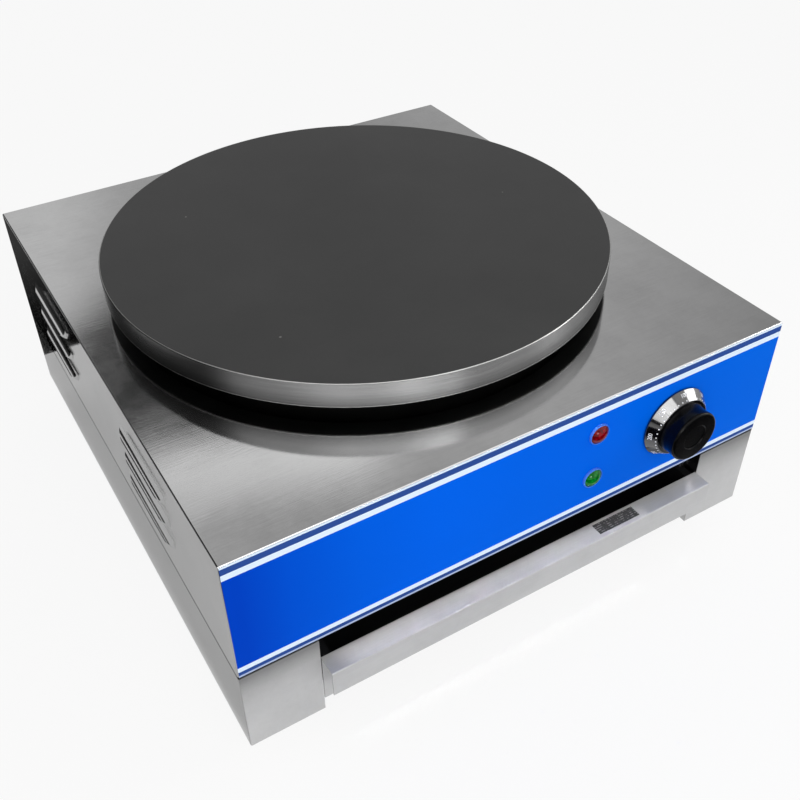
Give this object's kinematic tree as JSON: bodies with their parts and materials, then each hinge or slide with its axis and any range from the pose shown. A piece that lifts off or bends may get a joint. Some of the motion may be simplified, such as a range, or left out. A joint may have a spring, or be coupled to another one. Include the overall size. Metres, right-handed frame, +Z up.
{
  "type": "electric crepe maker",
  "caption": "Countertop electric crepe maker: a round griddle plate on a low stainless body with a blue striped front, a dial knob, signal lamps and a pull-out tray.",
  "frame": {"origin": "on the surface that the feet stand on, under the middle of the overall box", "axes": "+X to the user's right, +Y from the front to the back, +Z up"},
  "size_m": [0.4606, 0.53, 0.235],
  "materials": {
    "steel": "brushed",
    "blue_film": "gloss",
    "plated": "satin",
    "foot_rubber": "matt",
    "cast_plate": "satin",
    "enamel": "satin",
    "gasket": "matt",
    "wool": "matt",
    "element_steel": "satin",
    "ceramic": "matt",
    "brass": "satin",
    "copper": "satin",
    "case_plastic": "matt",
    "knob_plastic": "gloss",
    "red_lens": "gloss",
    "green_lens": "gloss",
    "bezel": "gloss",
    "gland_plastic": "matt",
    "wire": "matt",
    "tray_enamel": "satin",
    "foil": "satin"
  },
  "bodies": {
    "housing": {"base_side_left": "steel", "base_side_right": "steel", "block_screws": "plated", "bonding_nuts": "brass", "bonding_stud": "brass", "bottom_plate": "plated", "bulb_clip": "plated", "cable_gland": "gland_plastic", "capillary_tube": "copper", "clip_screws": "plated", "collar_nuts": "plated", "collar_ring": "enamel", "collar_screws": "plated", "element_bushes": "ceramic", "element_clamp": "plated", "element_inner": "element_steel", "element_links": "brass", "element_middle": "element_steel", "element_outer": "element_steel", "foot_front_left": "foot_rubber", "foot_front_right": "foot_rubber", "foot_nuts": "plated", "foot_rear_left": "foot_rubber", "foot_rear_right": "foot_rubber", "foot_screws": "plated", "gland_nut": "gland_plastic", "green_lens": "green_lens", "griddle_plate": "cast_plate", "heat_pan": "plated", "insulation_disc": "wool", "internal_wires": "wire", "lamp_bezels": "bezel", "lamp_bodies": "case_plastic", "lamp_nuts": "plated", "link_nuts": "plated", "panel_overlay": "blue_film", "plate_gasket": "gasket", "plate_nuts": "plated", "plate_studs": "plated", "plate_washers": "plated", "rear_cover": "plated", "rear_screws": "plated", "red_lens": "red_lens", "runner_left": "plated", "runner_right": "plated", "sensor_bulb": "copper", "terminal_block": "ceramic", "terminal_screws": "brass", "thermostat_body": "case_plastic", "thermostat_screws": "plated", "thermostat_shaft": "plated", "top_cover": "steel", "tray_bay_roof": "plated"},
    "knob": {"knob_skirt": "knob_plastic", "knob_grip": "knob_plastic", "knob_bushing": "brass", "knob_set_screw": "plated"},
    "tray": {"tray_front": "steel", "tray_pan": "tray_enamel", "rating_plate": "foil"}
  },
  "joints": [
    {"name": "knob_turn", "type": "hinge", "parent": "housing", "child": "knob", "pos_m": [0.1282, -0.2525, 0.152], "axis": [0, 1, 0], "range_deg": [-90, 180]},
    {"name": "tray_slide", "type": "slide", "parent": "housing", "child": "tray", "axis": [0, -1, 0], "range_m": [0, 0.3]}
  ]
}
